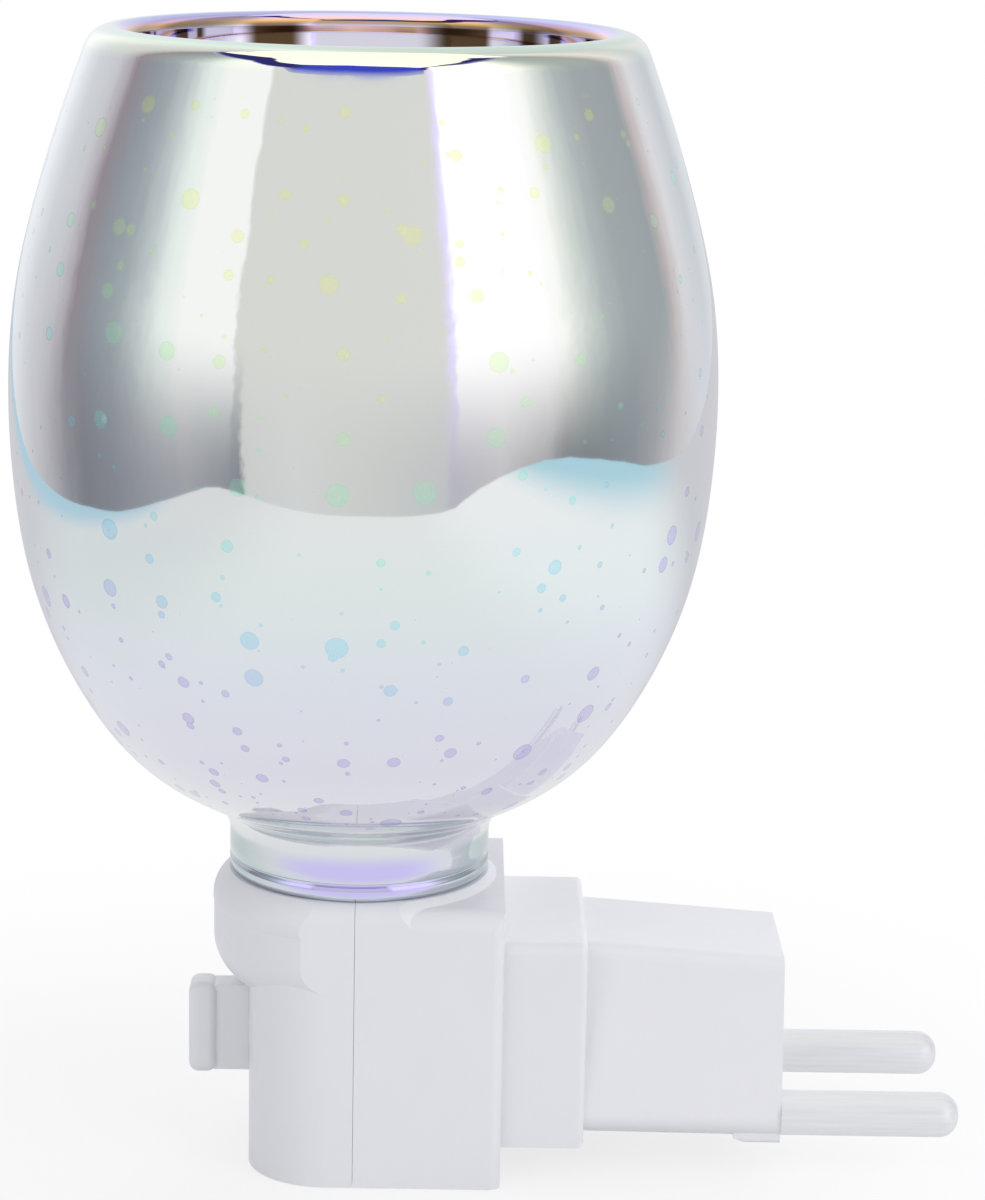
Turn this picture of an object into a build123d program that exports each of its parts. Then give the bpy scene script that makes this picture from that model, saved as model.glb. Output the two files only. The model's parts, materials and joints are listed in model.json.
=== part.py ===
from build123d import *
import math
import os

# Plug-in wax melt warmer. All sizes are in millimetres.
# The origin is on the bottom face of the base, on the axis of the glass.
# +Z is up, +X points the way the plug pins point, and the switch key is on the -X side.

# Base housing
wall = 1.8
base_half_width = 14.5
base_front_reach = 11.4
base_back_reach = 15.6
base_front_corner = 8.4
base_back_corner = 1.1
seat_height = 31.2
seat_rise = 0.7
seat_top_radius = 13.9
deck_height = seat_height - seat_rise
deck_edge_round = 2.0
collar_radius = 15.55
collar_foot_radius = 10.0
# Heights of the collar's curves, as shares of the seat's height
collar_shoulder_share = 0.878
collar_belly_share = 0.769
collar_foot_share = 0.590
collar_shoulder_height = collar_shoulder_share * seat_height
collar_belly_height = collar_belly_share * seat_height
collar_foot_height = collar_foot_share * seat_height
seam_gap = 0.04
tongue_reach = 1.2
tongue_thickness = 0.8
fit_gap = 0.15
holder_rib_thickness = 1.7

# Step behind the base, where the plug is fixed
step_reach = 24.4
step_half_width = 12.5
step_bottom = 4.0
# Top of the step, as a share of the seat's height
step_top_share = 0.85
step_top = step_top_share * seat_height
step_edge_round = 0.7
step_side_round = 1.2

# Plug body
plug_reach = 45.4
plug_length = plug_reach - step_reach
plug_top_half_width = 8.7
plug_bottom_half_width = 12.0
plug_top_drop = 1.0
plug_top_fall = 1.45
plug_root_top = step_top - plug_top_drop
plug_end_top = plug_root_top - plug_top_fall
plug_bottom_rise = 1.0
plug_bottom_fall = 0.2
plug_root_bottom = step_bottom + plug_bottom_rise
plug_end_bottom = plug_root_bottom - plug_bottom_fall
plug_top_corner = 1.6
plug_bottom_corner = 2.2
plug_wall = 1.8
# The solid end that holds the pins, as a share of the plug's length
plug_end_share = 0.352
plug_end_block = plug_end_share * plug_length
plug_foot_length = 5.0
plug_foot_drop = 0.6
plug_foot_bottom = plug_end_bottom - plug_foot_drop
plug_foot_ramp = 1.4
# The spigot's length, as a share of the step's
spigot_share = 0.75
spigot_length = spigot_share * (step_reach - base_back_reach)
spigot_wall = 1.5

# Plug pins
pin_radius = 2.4
pin_length = 19.0
pin_spacing = 19.0
pin_height = 7.3
pin_tip_round = 2.1
pin_shank_radius = 1.9
pin_shank_length = plug_end_block
# The tab's length, as a share of the plug's length
pin_tab_share = 0.21
pin_tab_length = pin_tab_share * plug_length
pin_tab_width = 1.3
pin_tab_thickness = 0.8
pin_tab_rise = 0.6
pin_tab_inset = 1.1

# Terminals that push on to the pin tabs, with lengths as shares of the plug's length
terminal_share = 0.19
terminal_length = terminal_share * plug_length
terminal_wall = 0.45
terminal_barrel_share = 0.124
terminal_barrel_length = terminal_barrel_share * plug_length
terminal_tab_gap = 0.05

# Screws
screw_radius = 1.25
screw_pilot_radius = 1.25
screw_clear_radius = 1.45
housing_screw_length = 11.0
screw_head_radius = 2.2
screw_head_height = 1.6
screw_slot_width = 0.6
screw_slot_depth = 0.7
screw_tip_length = 1.4
boss_radius = 2.7
housing_screw_offset = 8.3
# Height of the housing screws, as a share of the seat's height
housing_screw_share = 0.436
housing_screw_height = housing_screw_share * seat_height
housing_head_depth = 3.6
front_boss_reach = 4.6
plug_screw_length = 7.0
plug_tower_radius = 3.2
plug_tower_wall = 1.6
plug_tower_low_gap = 0.6
plug_tower_high_gap = 0.9
plug_screw_low = step_bottom + wall + plug_tower_radius + plug_tower_low_gap
plug_screw_high = step_top - wall - plug_tower_radius - plug_tower_high_gap
counterbore_radius = 2.4
rear_boss_depth = 3.9

# Wire window in the back wall of the base
window_half_width = 4.6
# Lower and upper edge of the window, as shares of the seat's height
window_low_share = 0.404
window_high_share = 0.542
window_low = window_low_share * seat_height
window_high = window_high_share * seat_height

# Glass shade, one blown piece with a wax dish let into its top
glass_height = 89.1
glass_max_radius = 36.85
glass_wall = 1.9
glass_neck_radius = 13.85
glass_neck_height = 4.6
glass_foot_radius = 13.5
glass_foot_height = 1.6
glass_groove_depth = 0.22
glass_groove_height = 0.5
# The lip is rolled over in one rounding outside its crest and one inside
lip_shoulder_radius = 28.83
lip_round = 3.0
lip_inner_round = 1.5
# Inward lean of the wall where it meets the lip, as the sine of its angle
lip_lean_share = 0.35
lip_fall_share = math.sqrt(1 - lip_lean_share**2)
lip_top_radius = lip_shoulder_radius - lip_fall_share * lip_round
lip_inner_radius = lip_top_radius - lip_inner_round
dish_depth = 21.2
fold_gap = 0.9
# Height and radius of the outer wall, as shares of the glass height and its largest radius
glass_outline_shares = (
    (0.070, 0.391),
    (0.100, 0.494),
    (0.147, 0.657),
    (0.242, 0.825),
    (0.3625, 0.942),
    (0.470, 0.987),
    (0.575, 1.000),
    (0.700, 0.978),
    (0.830, 0.903),
    (0.905, 0.846),
)
# Depth and radius of the dish, as shares of the dish depth and of the lip's inner radius
dish_outline_shares = (
    (0.22, 0.975),
    (0.52, 0.885),
    (0.80, 0.680),
    (0.95, 0.400),
)

# Lampholder for a small screw cap
holder_radius = 11.2
holder_bore_radius = 8.7
# Underside of the lampholder, as a share of the seat's height
holder_bottom_share = 0.654
holder_bottom = holder_bottom_share * seat_height
holder_stand = 6.8
holder_top = seat_height + holder_stand
holder_floor = 2.2
holder_flange_radius = 12.45
holder_flange_thickness = 1.7
holder_flange_top = deck_height - wall - fit_gap / 3
holder_flange_bottom = holder_flange_top - holder_flange_thickness
holder_rim_round = 0.6
thread_pitch = 2.82
shell_radius = 7.4
shell_thickness = 0.4
shell_ridge = 0.6
shell_ridge_count = 3
shell_top_gap = 1.6
shell_hole_radius = 4.2
tag_width = 3.0
tag_thickness = 0.5
tag_drop = 3.4
centre_tag_offset = 2.6
shell_tag_offset = 6.5
tag_slot_gap = 0.1
contact_rise = 1.7

# Lamp
lamp_length = 54.0
lamp_tip_radius = 2.3
lamp_tip_height = 1.1
lamp_insulator_height = 2.6
lamp_insulator_radius = 5.4
lamp_cap_height = 14.6
lamp_cap_radius = 6.95
lamp_cap_root_radius = 6.35
lamp_cap_skirt_radius = 6.75
lamp_cap_wall = 0.3
lamp_ridge_count = 4
lamp_radius = 11.0
lamp_glass_wall = 0.7
lamp_neck_radius = 6.0
lamp_neck_length = 3.0
# Height and radius of the lamp glass above its cap, as shares of its length and radius
lamp_outline_shares = (
    (0.16, 0.660),
    (0.30, 0.900),
    (0.46, 1.000),
    (0.66, 0.985),
    (0.82, 0.860),
    (0.94, 0.520),
)
stem_radius = 3.6
stem_top_radius = 1.3
stem_height = 17.0
stem_flare_height = 3.0
lead_radius = 0.3
lead_spread = 5.0
lead_rise = 8.0
filament_radius = 0.35
filament_sag = 1.6

# Switch with a turn key, its height as a share of the seat's
switch_share = 5 / 12
switch_height = switch_share * seat_height
key_half_height = 5.1
key_reach = 18.2
key_bead_length = 3.0
key_bead_half_width = 2.3
key_waist_half_width = 1.6
key_bead_round = 0.9
key_end_round = 1.1
key_gap = 0.3
switch_half_width = 4.9
switch_half_height = 4.9
switch_depth = 8.0
switch_wall = 1.0
switch_boss_radius = 3.2
spindle_radius = 1.9
spindle_run_gap = 0.05
tenon_half_width = 0.8
tenon_half_height = 1.7
tenon_length = 3.6
rotor_radius = 3.5
rotor_length = 2.6
rotor_end_gap = 0.3
pivot_radius = 0.8
bridge_half_length = 3.3
bridge_half_width = 1.4
bridge_thickness = 0.5
contact_gap = 0.1
contact_pad_inner = 1.7
contact_pad_outer = 3.6
contact_pad_half_height = 1.0
contact_thickness = 0.5
contact_tag_length = 2.6
contact_tag_width = 0.6

# Wires
wire_radius = 0.7
# Where the neutral wire turns down and in, as shares of the room behind its tag
wire_turn_shares = (0.59, 0.40)
wire_end_gap = 0.1
wire_bend_share = 0.45

# One overrun for every cut
overrun = 1.0


def block(x_low, x_high, y_low, y_high, z_low, z_high):
    """A box between two corners."""
    centre = Pos((x_low + x_high) / 2, (y_low + y_high) / 2, (z_low + z_high) / 2)
    return centre * Box(x_high - x_low, y_high - y_low, z_high - z_low)


def rod_x(radius, x_low, x_high, y=0, z=0):
    """A round bar along X."""
    length = x_high - x_low
    return Pos((x_low + x_high) / 2, y, z) * Rot(0, 90, 0) * Cylinder(radius, length)


def rod_z(radius, z_low, z_high, x=0, y=0):
    """A round bar along Z."""
    return Pos(x, y, (z_low + z_high) / 2) * Cylinder(radius, z_high - z_low)


def turned(edges):
    """Revolve a closed outline, drawn at (radius, 0, height), about the Z axis."""
    return revolve(make_face(edges), Axis.Z, 360)


def polygon_turned(points):
    """Revolve a polygon of (radius, height) points about the Z axis."""
    outline = Polyline(*[(r, 0, z) for r, z in points], close=True)
    return revolve(make_face(outline), Axis.Z, 360)


def only(shape):
    """The single solid of a shape."""
    return shape.solids()[0]


# Base housing

def rounded_bar(height):
    """A bar along X as wide as the base, with its two upper edges rounded."""
    bar = block(-collar_radius, base_back_reach, -base_half_width, base_half_width, 0, height)
    return fillet(bar.edges().filter_by(Axis.X).group_by(Axis.Z)[-1], deck_edge_round)


def base_volume(inset):
    """The base's outer form, drawn in by an inset all round. Only the undrawn form has the seat."""
    plan = Pos((base_back_reach - base_front_reach) / 2, 0) * Rectangle(
        base_back_reach + base_front_reach - 2 * inset, 2 * (base_half_width - inset)
    )
    corners = plan.vertices().sort_by(Axis.X)
    plan = fillet(corners[:2], base_front_corner - inset)
    corners = plan.vertices().group_by(Axis.X)[-1]
    plan = fillet(corners, max(base_back_corner - inset, base_back_corner / 4))
    trunk = Pos(0, 0, inset) * extrude(plan, deck_height - 2 * inset)
    trim = block(-collar_radius, 0, -collar_radius, collar_radius, collar_belly_height, seat_height)
    front_trunk = trunk - trim
    radius = collar_radius - inset
    inner_radius = collar_foot_radius - inset
    belly_mid = math.sqrt(0.5)
    belly_drop = collar_belly_height - collar_foot_height
    edges = [
        Line((0, 0, collar_foot_height + inset), (inner_radius, 0, collar_foot_height + inset)),
        ThreePointArc(
            (inner_radius, 0, collar_foot_height + inset),
            (
                inner_radius + (radius - inner_radius) * belly_mid,
                0,
                collar_belly_height - (belly_drop - inset) * belly_mid,
            ),
            (radius, 0, collar_belly_height),
        ),
    ]
    if inset > 0:
        top = deck_height - inset
        edges += [
            Line((radius, 0, collar_belly_height), (radius, 0, top)),
            Line((radius, 0, top), (0, 0, top)),
            Line((0, 0, top), (0, 0, collar_foot_height + inset)),
        ]
    else:
        shoulder_mid = (
            seat_top_radius + (radius - seat_top_radius) * belly_mid,
            0,
            collar_shoulder_height + (seat_height - collar_shoulder_height) * belly_mid,
        )
        edges += [
            Line((radius, 0, collar_belly_height), (radius, 0, collar_shoulder_height)),
            ThreePointArc(
                (radius, 0, collar_shoulder_height), shoulder_mid, (seat_top_radius, 0, seat_height)
            ),
            Line((seat_top_radius, 0, seat_height), (0, 0, seat_height)),
            Line((0, 0, seat_height), (0, 0, collar_foot_height)),
        ]
    if inset > 0:
        half_width = base_half_width - inset
        bounds = block(-collar_radius, base_back_reach - inset, -half_width, half_width, 0, seat_height)
        return front_trunk + (turned(edges) & bounds)
    return (front_trunk & rounded_bar(deck_height)) + (turned(edges) & rounded_bar(seat_height))


def step_block(inset, x_low, x_high):
    """The square step's form behind the base, drawn in by an inset."""
    half_width = step_half_width - inset
    return block(x_low, x_high, -half_width, half_width, step_bottom + inset, step_top - inset)


def holder_seat_cut():
    """The room that the lampholder needs in the base, with its flange groove."""
    body = rod_z(holder_radius + fit_gap, holder_bottom - fit_gap, seat_height + overrun)
    flange_top = deck_height - wall
    flange = rod_z(holder_flange_radius + fit_gap, holder_flange_bottom - fit_gap / 3, flange_top)
    return body + flange


def holder_rib():
    """The shelf round the lampholder that carries its flange."""
    top = holder_flange_bottom - fit_gap / 3
    shelf = block(
        -collar_radius, base_back_reach, -base_half_width, base_half_width, top - holder_rib_thickness, top
    )
    return (shelf & base_volume(wall / 2)) - rod_z(holder_radius + fit_gap, 0, seat_height)


def base_hull():
    """Both shells' walls and the lampholder's shelf, before they are parted at the seam."""
    hull = base_volume(0) - base_volume(wall)
    hull = hull + holder_rib()
    return hull - holder_seat_cut()


def tongue():
    """The thin lip of the front shell that enters the rear shell at the seam."""
    outer = base_volume(wall - tongue_thickness)
    ring = (outer - base_volume(wall)) & block(
        -seam_gap / 2, tongue_reach, -base_half_width, base_half_width, 0, deck_height
    )
    return ring - holder_seat_cut()


def tongue_room():
    """The rebate that takes the tongue, larger by the fit gap."""
    outer = base_volume(wall - tongue_thickness - fit_gap)
    return outer & block(
        -overrun, tongue_reach + fit_gap, -base_half_width, base_half_width, 0, deck_height
    )


def housing_screw_places():
    """The two housing screws' axes, as (y, z)."""
    return [(side * housing_screw_offset, housing_screw_height) for side in (-1, 1)]


def front_shell():
    """Front half of the base, with the round collar and the switch hole."""
    front_half = block(
        -collar_radius - overrun, -seam_gap / 2,
        -collar_radius, collar_radius,
        -overrun, seat_height + overrun,
    )
    shell = (base_hull() & front_half) + tongue()
    for y, z in housing_screw_places():
        pillar = rod_x(boss_radius, -base_front_reach, front_boss_reach, y, z) & base_volume(wall / 2)
        shell = shell + pillar
        pilot_end = front_boss_reach - housing_screw_length
        shell = shell - rod_x(screw_pilot_radius, pilot_end, front_boss_reach + overrun, y, z)
    hole_radius = switch_boss_radius + fit_gap
    hole_front = -base_front_reach - overrun
    shell = shell - rod_x(hole_radius, hole_front, -base_front_reach + wall + overrun, 0, switch_height)
    return only(shell)


def rear_shell():
    """Rear half of the base, with the square step that carries the plug."""
    rear_half = block(
        seam_gap / 2, base_back_reach + overrun,
        -collar_radius, collar_radius,
        -overrun, seat_height + overrun,
    )
    shell = (base_hull() & rear_half) - (tongue_room() - base_volume(wall))
    step = step_block(0, base_back_reach - wall / 2, step_reach)
    step = fillet(step.edges().filter_by(Axis.X).group_by(Axis.Z)[-1], step_side_round)
    step = fillet(step.edges().group_by(Axis.X)[-1], step_edge_round)
    step = step - step_block(wall, base_back_reach, step_reach + overrun)
    shell = shell + step
    head_seat = base_back_reach - housing_head_depth
    for y, z in housing_screw_places():
        shell = shell + rod_x(boss_radius, front_boss_reach + fit_gap, base_back_reach - wall / 2, y, z)
        shell = shell - rod_x(screw_clear_radius, 0, base_back_reach + overrun, y, z)
        shell = shell - rod_x(counterbore_radius, head_seat, base_back_reach + overrun, y, z)
    boss_front = base_back_reach - rear_boss_depth
    for z in (plug_screw_low, plug_screw_high):
        shell = shell + rod_x(boss_radius, boss_front, base_back_reach - wall / 2, 0, z)
        shell = shell - rod_x(screw_pilot_radius, boss_front - overrun, base_back_reach + overrun, 0, z)
    window = block(
        base_back_reach - wall - overrun, base_back_reach + overrun,
        -window_half_width, window_half_width, window_low, window_high,
    )
    shell = shell - window
    return only(shell)


# Plug

def plug_section(x, top, bottom, inset):
    """A trapezium with round corners across the plug at one place along X."""
    top_half = plug_top_half_width - inset
    bottom_half = plug_bottom_half_width - inset
    outline = Polyline(
        (-bottom_half, bottom + inset),
        (bottom_half, bottom + inset),
        (top_half, top - inset),
        (-top_half, top - inset),
        close=True,
    )
    face = make_face(outline)
    corners = face.vertices().sort_by(Axis.Y)
    face = fillet(corners[:2], max(plug_bottom_corner - inset, plug_bottom_corner / 4))
    corners = face.vertices().filter_by(lambda v: v.Y > top - inset - plug_top_corner / 4)
    face = fillet(corners, max(plug_top_corner - inset, plug_top_corner / 4))
    return Plane((x, 0, 0), x_dir=(0, 1, 0), z_dir=(1, 0, 0)) * face


def plug_heights(x):
    """Top and bottom of the plug at one place along X."""
    share = (x - step_reach) / plug_length
    top = plug_root_top + (plug_end_top - plug_root_top) * share
    bottom = plug_root_bottom + (plug_end_bottom - plug_root_bottom) * share
    return top, bottom


def plug_loft(x_low, x_high, inset):
    """The plug's tapered form between two places along X."""
    sections = [plug_section(x, *plug_heights(x), inset) for x in (x_low, x_high)]
    return loft(Sketch() + sections, ruled=True)


def plug_foot():
    """The low pad under the end of the plug."""
    start = plug_reach - plug_foot_length
    top = plug_root_bottom + plug_bottom_corner
    outline = Polyline(
        (start, plug_end_bottom),
        (start + plug_foot_ramp, plug_foot_bottom),
        (plug_reach, plug_foot_bottom),
        (plug_reach, top),
        (start, top),
        close=True,
    )
    half_width = plug_bottom_half_width - plug_bottom_corner / 2
    pad = extrude(Plane.XZ * make_face(outline), half_width, both=True)
    return fillet(pad.edges().filter_by(Axis.X).group_by(Axis.Z)[0], plug_foot_drop)


def plug_body():
    """Plug moulding: a spigot for the step, the tapered body and a solid end that holds the pins."""
    spigot_start = step_reach - spigot_length
    inset = wall + fit_gap
    body = plug_loft(step_reach, plug_reach, 0) + plug_foot()
    body = body + step_block(inset, spigot_start, step_reach)
    cavity_end = plug_reach - plug_end_block
    cavity = plug_loft(step_reach, cavity_end, plug_wall)
    cavity = cavity + step_block(inset + spigot_wall, spigot_start - overrun, step_reach)
    body = body - cavity
    for z in (plug_screw_low, plug_screw_high):
        shoulder = spigot_start + plug_tower_wall
        body = body + rod_x(plug_tower_radius, spigot_start, cavity_end, 0, z)
        body = body - rod_x(counterbore_radius, shoulder, plug_reach + overrun, 0, z)
        body = body - rod_x(screw_clear_radius, spigot_start - overrun, shoulder + overrun, 0, z)
    for side in (-1, 1):
        y = side * pin_spacing / 2
        body = body - rod_x(pin_shank_radius, cavity_end - overrun, plug_reach + overrun, y, pin_height)
    return only(body)


def tab_middle(side):
    """The middle of a pin's tab, as (y, z)."""
    return side * (pin_spacing / 2 - pin_tab_inset), pin_height + pin_tab_rise + pin_tab_width / 2


def tab_block(side, grow, x_low, x_high):
    """A block round a pin's tab, larger than the tab by grow on each side."""
    y, z = tab_middle(side)
    half_y = pin_tab_thickness / 2 + grow
    half_z = pin_tab_width / 2 + grow
    return block(x_low, x_high, y - half_y, y + half_y, z - half_z, z + half_z)


def plug_pin(side):
    """One round pin with its thinner shank and its tab."""
    y = side * pin_spacing / 2
    pin = Cylinder(pin_radius, pin_length)
    pin = fillet(pin.edges().group_by(Axis.Z)[-1], pin_tip_round)
    pin = Pos(plug_reach + pin_length / 2, y, pin_height) * Rot(0, 90, 0) * pin
    shank_end = plug_reach - pin_shank_length
    pin = pin + rod_x(pin_shank_radius, shank_end, plug_reach, y, pin_height)
    return only(pin + tab_block(side, 0, shank_end - pin_tab_length, shank_end))


def pin_terminal(side):
    """Folded terminal on a pin tab, with a barrel for the wire."""
    front = plug_reach - pin_shank_length - pin_tab_length
    skin = terminal_wall + terminal_tab_gap
    sleeve = tab_block(side, skin, front - terminal_wall, front - terminal_wall + terminal_length)
    sleeve = sleeve - tab_block(side, terminal_tab_gap, front, front + terminal_length + overrun)
    y, z = tab_middle(side)
    bore_radius = wire_radius + terminal_tab_gap
    barrel_end = front - terminal_wall
    barrel_start = barrel_end - terminal_barrel_length
    barrel = rod_x(bore_radius + terminal_wall, barrel_start, barrel_end, y, z)
    bore = rod_x(bore_radius, barrel_start - overrun, barrel_end, y, z)
    return only(sleeve + (barrel - bore))


def screw(seat_x, y, z, length):
    """A self-tapping screw that points to -X, with its head resting at seat_x."""
    shank = rod_x(screw_radius, seat_x - length + screw_tip_length, seat_x, y, z)
    tip = Pos(seat_x - length + screw_tip_length / 2, y, z) * Rot(0, -90, 0) * Cone(
        screw_radius, screw_radius / 3, screw_tip_length
    )
    head = rod_x(screw_head_radius, seat_x, seat_x + screw_head_height, y, z)
    head = fillet(head.edges().group_by(Axis.X)[-1], screw_head_height / 3)
    top = seat_x + screw_head_height
    for across, along in ((screw_slot_width, screw_head_radius), (screw_head_radius, screw_slot_width)):
        head = head - block(
            top - screw_slot_depth, top + overrun,
            y - across / 2, y + across / 2,
            z - along / 2, z + along / 2,
        )
    return only(shank + tip + head)


def housing_screws():
    """Two screws that hold the two shells together."""
    seat = base_back_reach - housing_head_depth
    return [screw(seat, y, z, housing_screw_length) for y, z in housing_screw_places()]


def plug_screws():
    """Two screws that hold the plug body to the rear shell."""
    seat = step_reach - spigot_length + plug_tower_wall
    return [screw(seat, 0, z, plug_screw_length) for z in (plug_screw_low, plug_screw_high)]


# Glass

def offset_points(points, distance):
    """Move each inner point of an outline to its left by a distance; the ends are left out."""
    moved = []
    for before, here, after in zip(points, points[1:], points[2:]):
        run = after[0] - before[0]
        rise = after[1] - before[1]
        length = math.hypot(run, rise)
        moved.append((here[0] - rise / length * distance, here[1] + run / length * distance))
    return moved


def upright(points):
    """Turn (radius, height) points into points of the outline's plane."""
    return [(r, 0, z) for r, z in points]


def smooth(points, start, end):
    """A spline through (radius, height) points that leaves and arrives in given directions."""
    directions = [Vector(start[0], 0, start[1]), Vector(end[0], 0, end[1])]
    return Spline(*upright(points), tangents=directions, tangent_scalars=(1, 1))


def glass_shade():
    """The whole blown shade: foot ring, neck, egg-shaped wall, lip and re-entrant wax dish."""
    base = seat_height
    neck_top = (glass_neck_radius, base + glass_neck_height)
    top = base + glass_height
    lip_shoulder = (lip_shoulder_radius, top - lip_round * (1 - lip_lean_share))
    lip_top = (lip_top_radius, top)
    lip_inner = (lip_inner_radius, top - lip_inner_round)
    middle = [
        (radius * glass_max_radius, base + height * glass_height) for height, radius in glass_outline_shares
    ]
    outer = [neck_top] + middle + [lip_shoulder]
    lean = (-lip_lean_share, lip_fall_share)
    outer_wall = smooth(outer, (0, 1), lean)

    half_turn = (math.asin(lip_lean_share) + math.pi / 2) / 2
    lip_out_mid = (
        lip_top_radius + lip_round * math.cos(half_turn),
        top - lip_round * (1 - math.sin(half_turn)),
    )
    half = math.sqrt(0.5)
    lip_in_mid = (lip_top_radius - lip_inner_round * half, top - lip_inner_round * (1 - half))
    dish_floor = top - dish_depth
    dish_drop = lip_inner[1] - dish_floor
    dish = [lip_inner] + [
        (radius * lip_inner_radius, lip_inner[1] - depth * dish_drop)
        for depth, radius in dish_outline_shares
    ] + [(0, dish_floor)]
    dish_top = smooth(dish, (0, -1), (-1, 0))

    under_start = (lip_inner_radius + glass_wall, top - glass_wall - fold_gap / 2)
    under = [under_start] + offset_points(dish, glass_wall) + [(0, dish_floor - glass_wall)]
    dish_under = smooth(under, (0, -1), (-1, 0))

    inner_neck = (glass_neck_radius - glass_wall, neck_top[1])
    inner_end = (under_start[0] + fold_gap, under_start[1])
    inner = [inner_neck] + offset_points(outer, glass_wall) + [inner_end]
    inner_wall = smooth(inner, (0, 1), lean)
    fold_mid = ((under_start[0] + inner_end[0]) / 2, under_start[1] + fold_gap / 2)

    foot_round = glass_neck_radius - glass_foot_radius
    groove_low = base + glass_foot_height
    groove_high = groove_low + glass_groove_height
    foot = [
        (glass_neck_radius - glass_wall, base),
        (glass_foot_radius, base),
        (glass_neck_radius, base + foot_round * 2),
        (glass_neck_radius, groove_low),
        (glass_neck_radius - glass_groove_depth, (groove_low + groove_high) / 2),
        (glass_neck_radius, groove_high),
        neck_top,
    ]
    edges = [
        Polyline(*upright(foot)),
        outer_wall,
        ThreePointArc(*upright([lip_shoulder, lip_out_mid, lip_top])),
        ThreePointArc(*upright([lip_top, lip_in_mid, lip_inner])),
        dish_top,
        Line((0, 0, dish_floor), (0, 0, dish_floor - glass_wall)),
        dish_under,
        ThreePointArc(*upright([under_start, fold_mid, inner_end])),
        inner_wall,
        Line(*upright([inner_neck, foot[0]])),
    ]
    return only(turned(edges))


# Lampholder

def holder_floor_top():
    """Height of the lampholder's floor inside its bore."""
    return holder_bottom + holder_floor


def tag_slot(x):
    """Slot in the lampholder's floor for one tag."""
    gap = tag_slot_gap
    return block(
        x - tag_thickness / 2 - gap, x + tag_thickness / 2 + gap,
        -tag_width / 2 - gap, tag_width / 2 + gap,
        holder_bottom - overrun, holder_floor_top() + overrun,
    )


def lampholder_body():
    """White moulded cup that stands up through the deck and centres the glass neck."""
    body = rod_z(holder_radius, holder_bottom, holder_top)
    body = fillet(body.edges().group_by(Axis.Z)[-1], holder_rim_round)
    body = body + rod_z(holder_flange_radius, holder_flange_bottom, holder_flange_top)
    body = body - rod_z(holder_bore_radius, holder_floor_top(), holder_top + overrun)
    body = body - tag_slot(centre_tag_offset) - tag_slot(shell_tag_offset)
    return only(body)


def lampholder_screw_shell():
    """Pressed metal shell with rolled thread ridges, a floor and a solder tag."""
    floor_z = holder_floor_top()
    top = holder_top - shell_top_gap
    outer = shell_radius + shell_thickness
    ridge_start = top - shell_ridge_count * thread_pitch
    outside = [(outer, floor_z)]
    inside = []
    for turn in range(shell_ridge_count):
        z = ridge_start + turn * thread_pitch
        outside += [(outer, z), (outer + shell_ridge, z + thread_pitch / 2)]
        inside += [(shell_radius, z), (shell_radius + shell_ridge, z + thread_pitch / 2)]
    outside += [(outer, top)]
    inside += [(shell_radius, top)]
    points = [(shell_hole_radius, floor_z)] + outside + list(reversed(inside))
    points += [(shell_radius, floor_z + shell_thickness), (shell_hole_radius, floor_z + shell_thickness)]
    shell = polygon_turned(points)
    tag = block(
        shell_tag_offset - tag_thickness / 2, shell_tag_offset + tag_thickness / 2,
        -tag_width / 2, tag_width / 2,
        holder_bottom - tag_drop, floor_z + shell_thickness / 2,
    )
    return only(shell + tag)


def lampholder_centre_contact():
    """Bronze leaf that the lamp's tip presses on, with a tag through the floor."""
    floor_z = holder_floor_top()
    top = floor_z + contact_rise
    t = tag_thickness
    x = centre_tag_offset
    outline = Polyline(
        (x + t / 2, holder_bottom - tag_drop),
        (x + t / 2, floor_z + t),
        (x - t, top),
        (-x + t, top),
        (-x, floor_z + t),
        (-x + t / 2, floor_z + t),
        (-x + t * 3 / 2, top - t),
        (x - t * 3 / 2, top - t),
        (x - t / 2, floor_z),
        (x - t / 2, holder_bottom - tag_drop),
        close=True,
    )
    return only(extrude(Plane.XZ * make_face(outline), tag_width / 2, both=True))


# Lamp

def lamp_bottom():
    """Height of the lamp's tip when it is screwed home."""
    return holder_floor_top() + contact_rise


def lamp_cap_bottom():
    """Height of the lower edge of the lamp's cap shell."""
    return lamp_bottom() + lamp_tip_height + lamp_insulator_height


def lamp_cap_top():
    """Height of the upper edge of the lamp's cap shell."""
    return lamp_cap_bottom() + lamp_cap_height


def lamp_tip_contact():
    """Solder pad at the lamp's tip."""
    tip = rod_z(lamp_tip_radius, lamp_bottom(), lamp_bottom() + lamp_tip_height)
    return only(fillet(tip.edges().group_by(Axis.Z)[0], lamp_tip_height / 2))


def lamp_insulator():
    """Dark glass cone between the tip and the cap."""
    low = lamp_bottom() + lamp_tip_height
    return only(polygon_turned([
        (0, low),
        (lamp_tip_radius + lamp_tip_height / 2, low),
        (lamp_insulator_radius, lamp_cap_bottom()),
        (0, lamp_cap_bottom()),
    ]))


def lamp_cap():
    """Metal screw cap with rolled ridges and a plain skirt."""
    low = lamp_cap_bottom()
    top = lamp_cap_top()
    outside = [(lamp_insulator_radius, low), (lamp_cap_root_radius, low + thread_pitch / 4)]
    for turn in range(lamp_ridge_count):
        z = low + thread_pitch / 4 + turn * thread_pitch
        outside += [(lamp_cap_radius, z + thread_pitch / 2), (lamp_cap_root_radius, z + thread_pitch)]
    skirt_low = outside[-1][1] + thread_pitch / 6
    outside += [(lamp_cap_skirt_radius, skirt_low), (lamp_cap_skirt_radius, top)]
    inner = lamp_cap_root_radius - lamp_cap_wall
    floor_inner = lamp_insulator_radius - lamp_cap_wall * 3
    points = outside + [(inner, top), (inner, low + lamp_cap_wall), (floor_inner, low + lamp_cap_wall)]
    points += [(floor_inner, low)]
    return only(polygon_turned(points))


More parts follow.
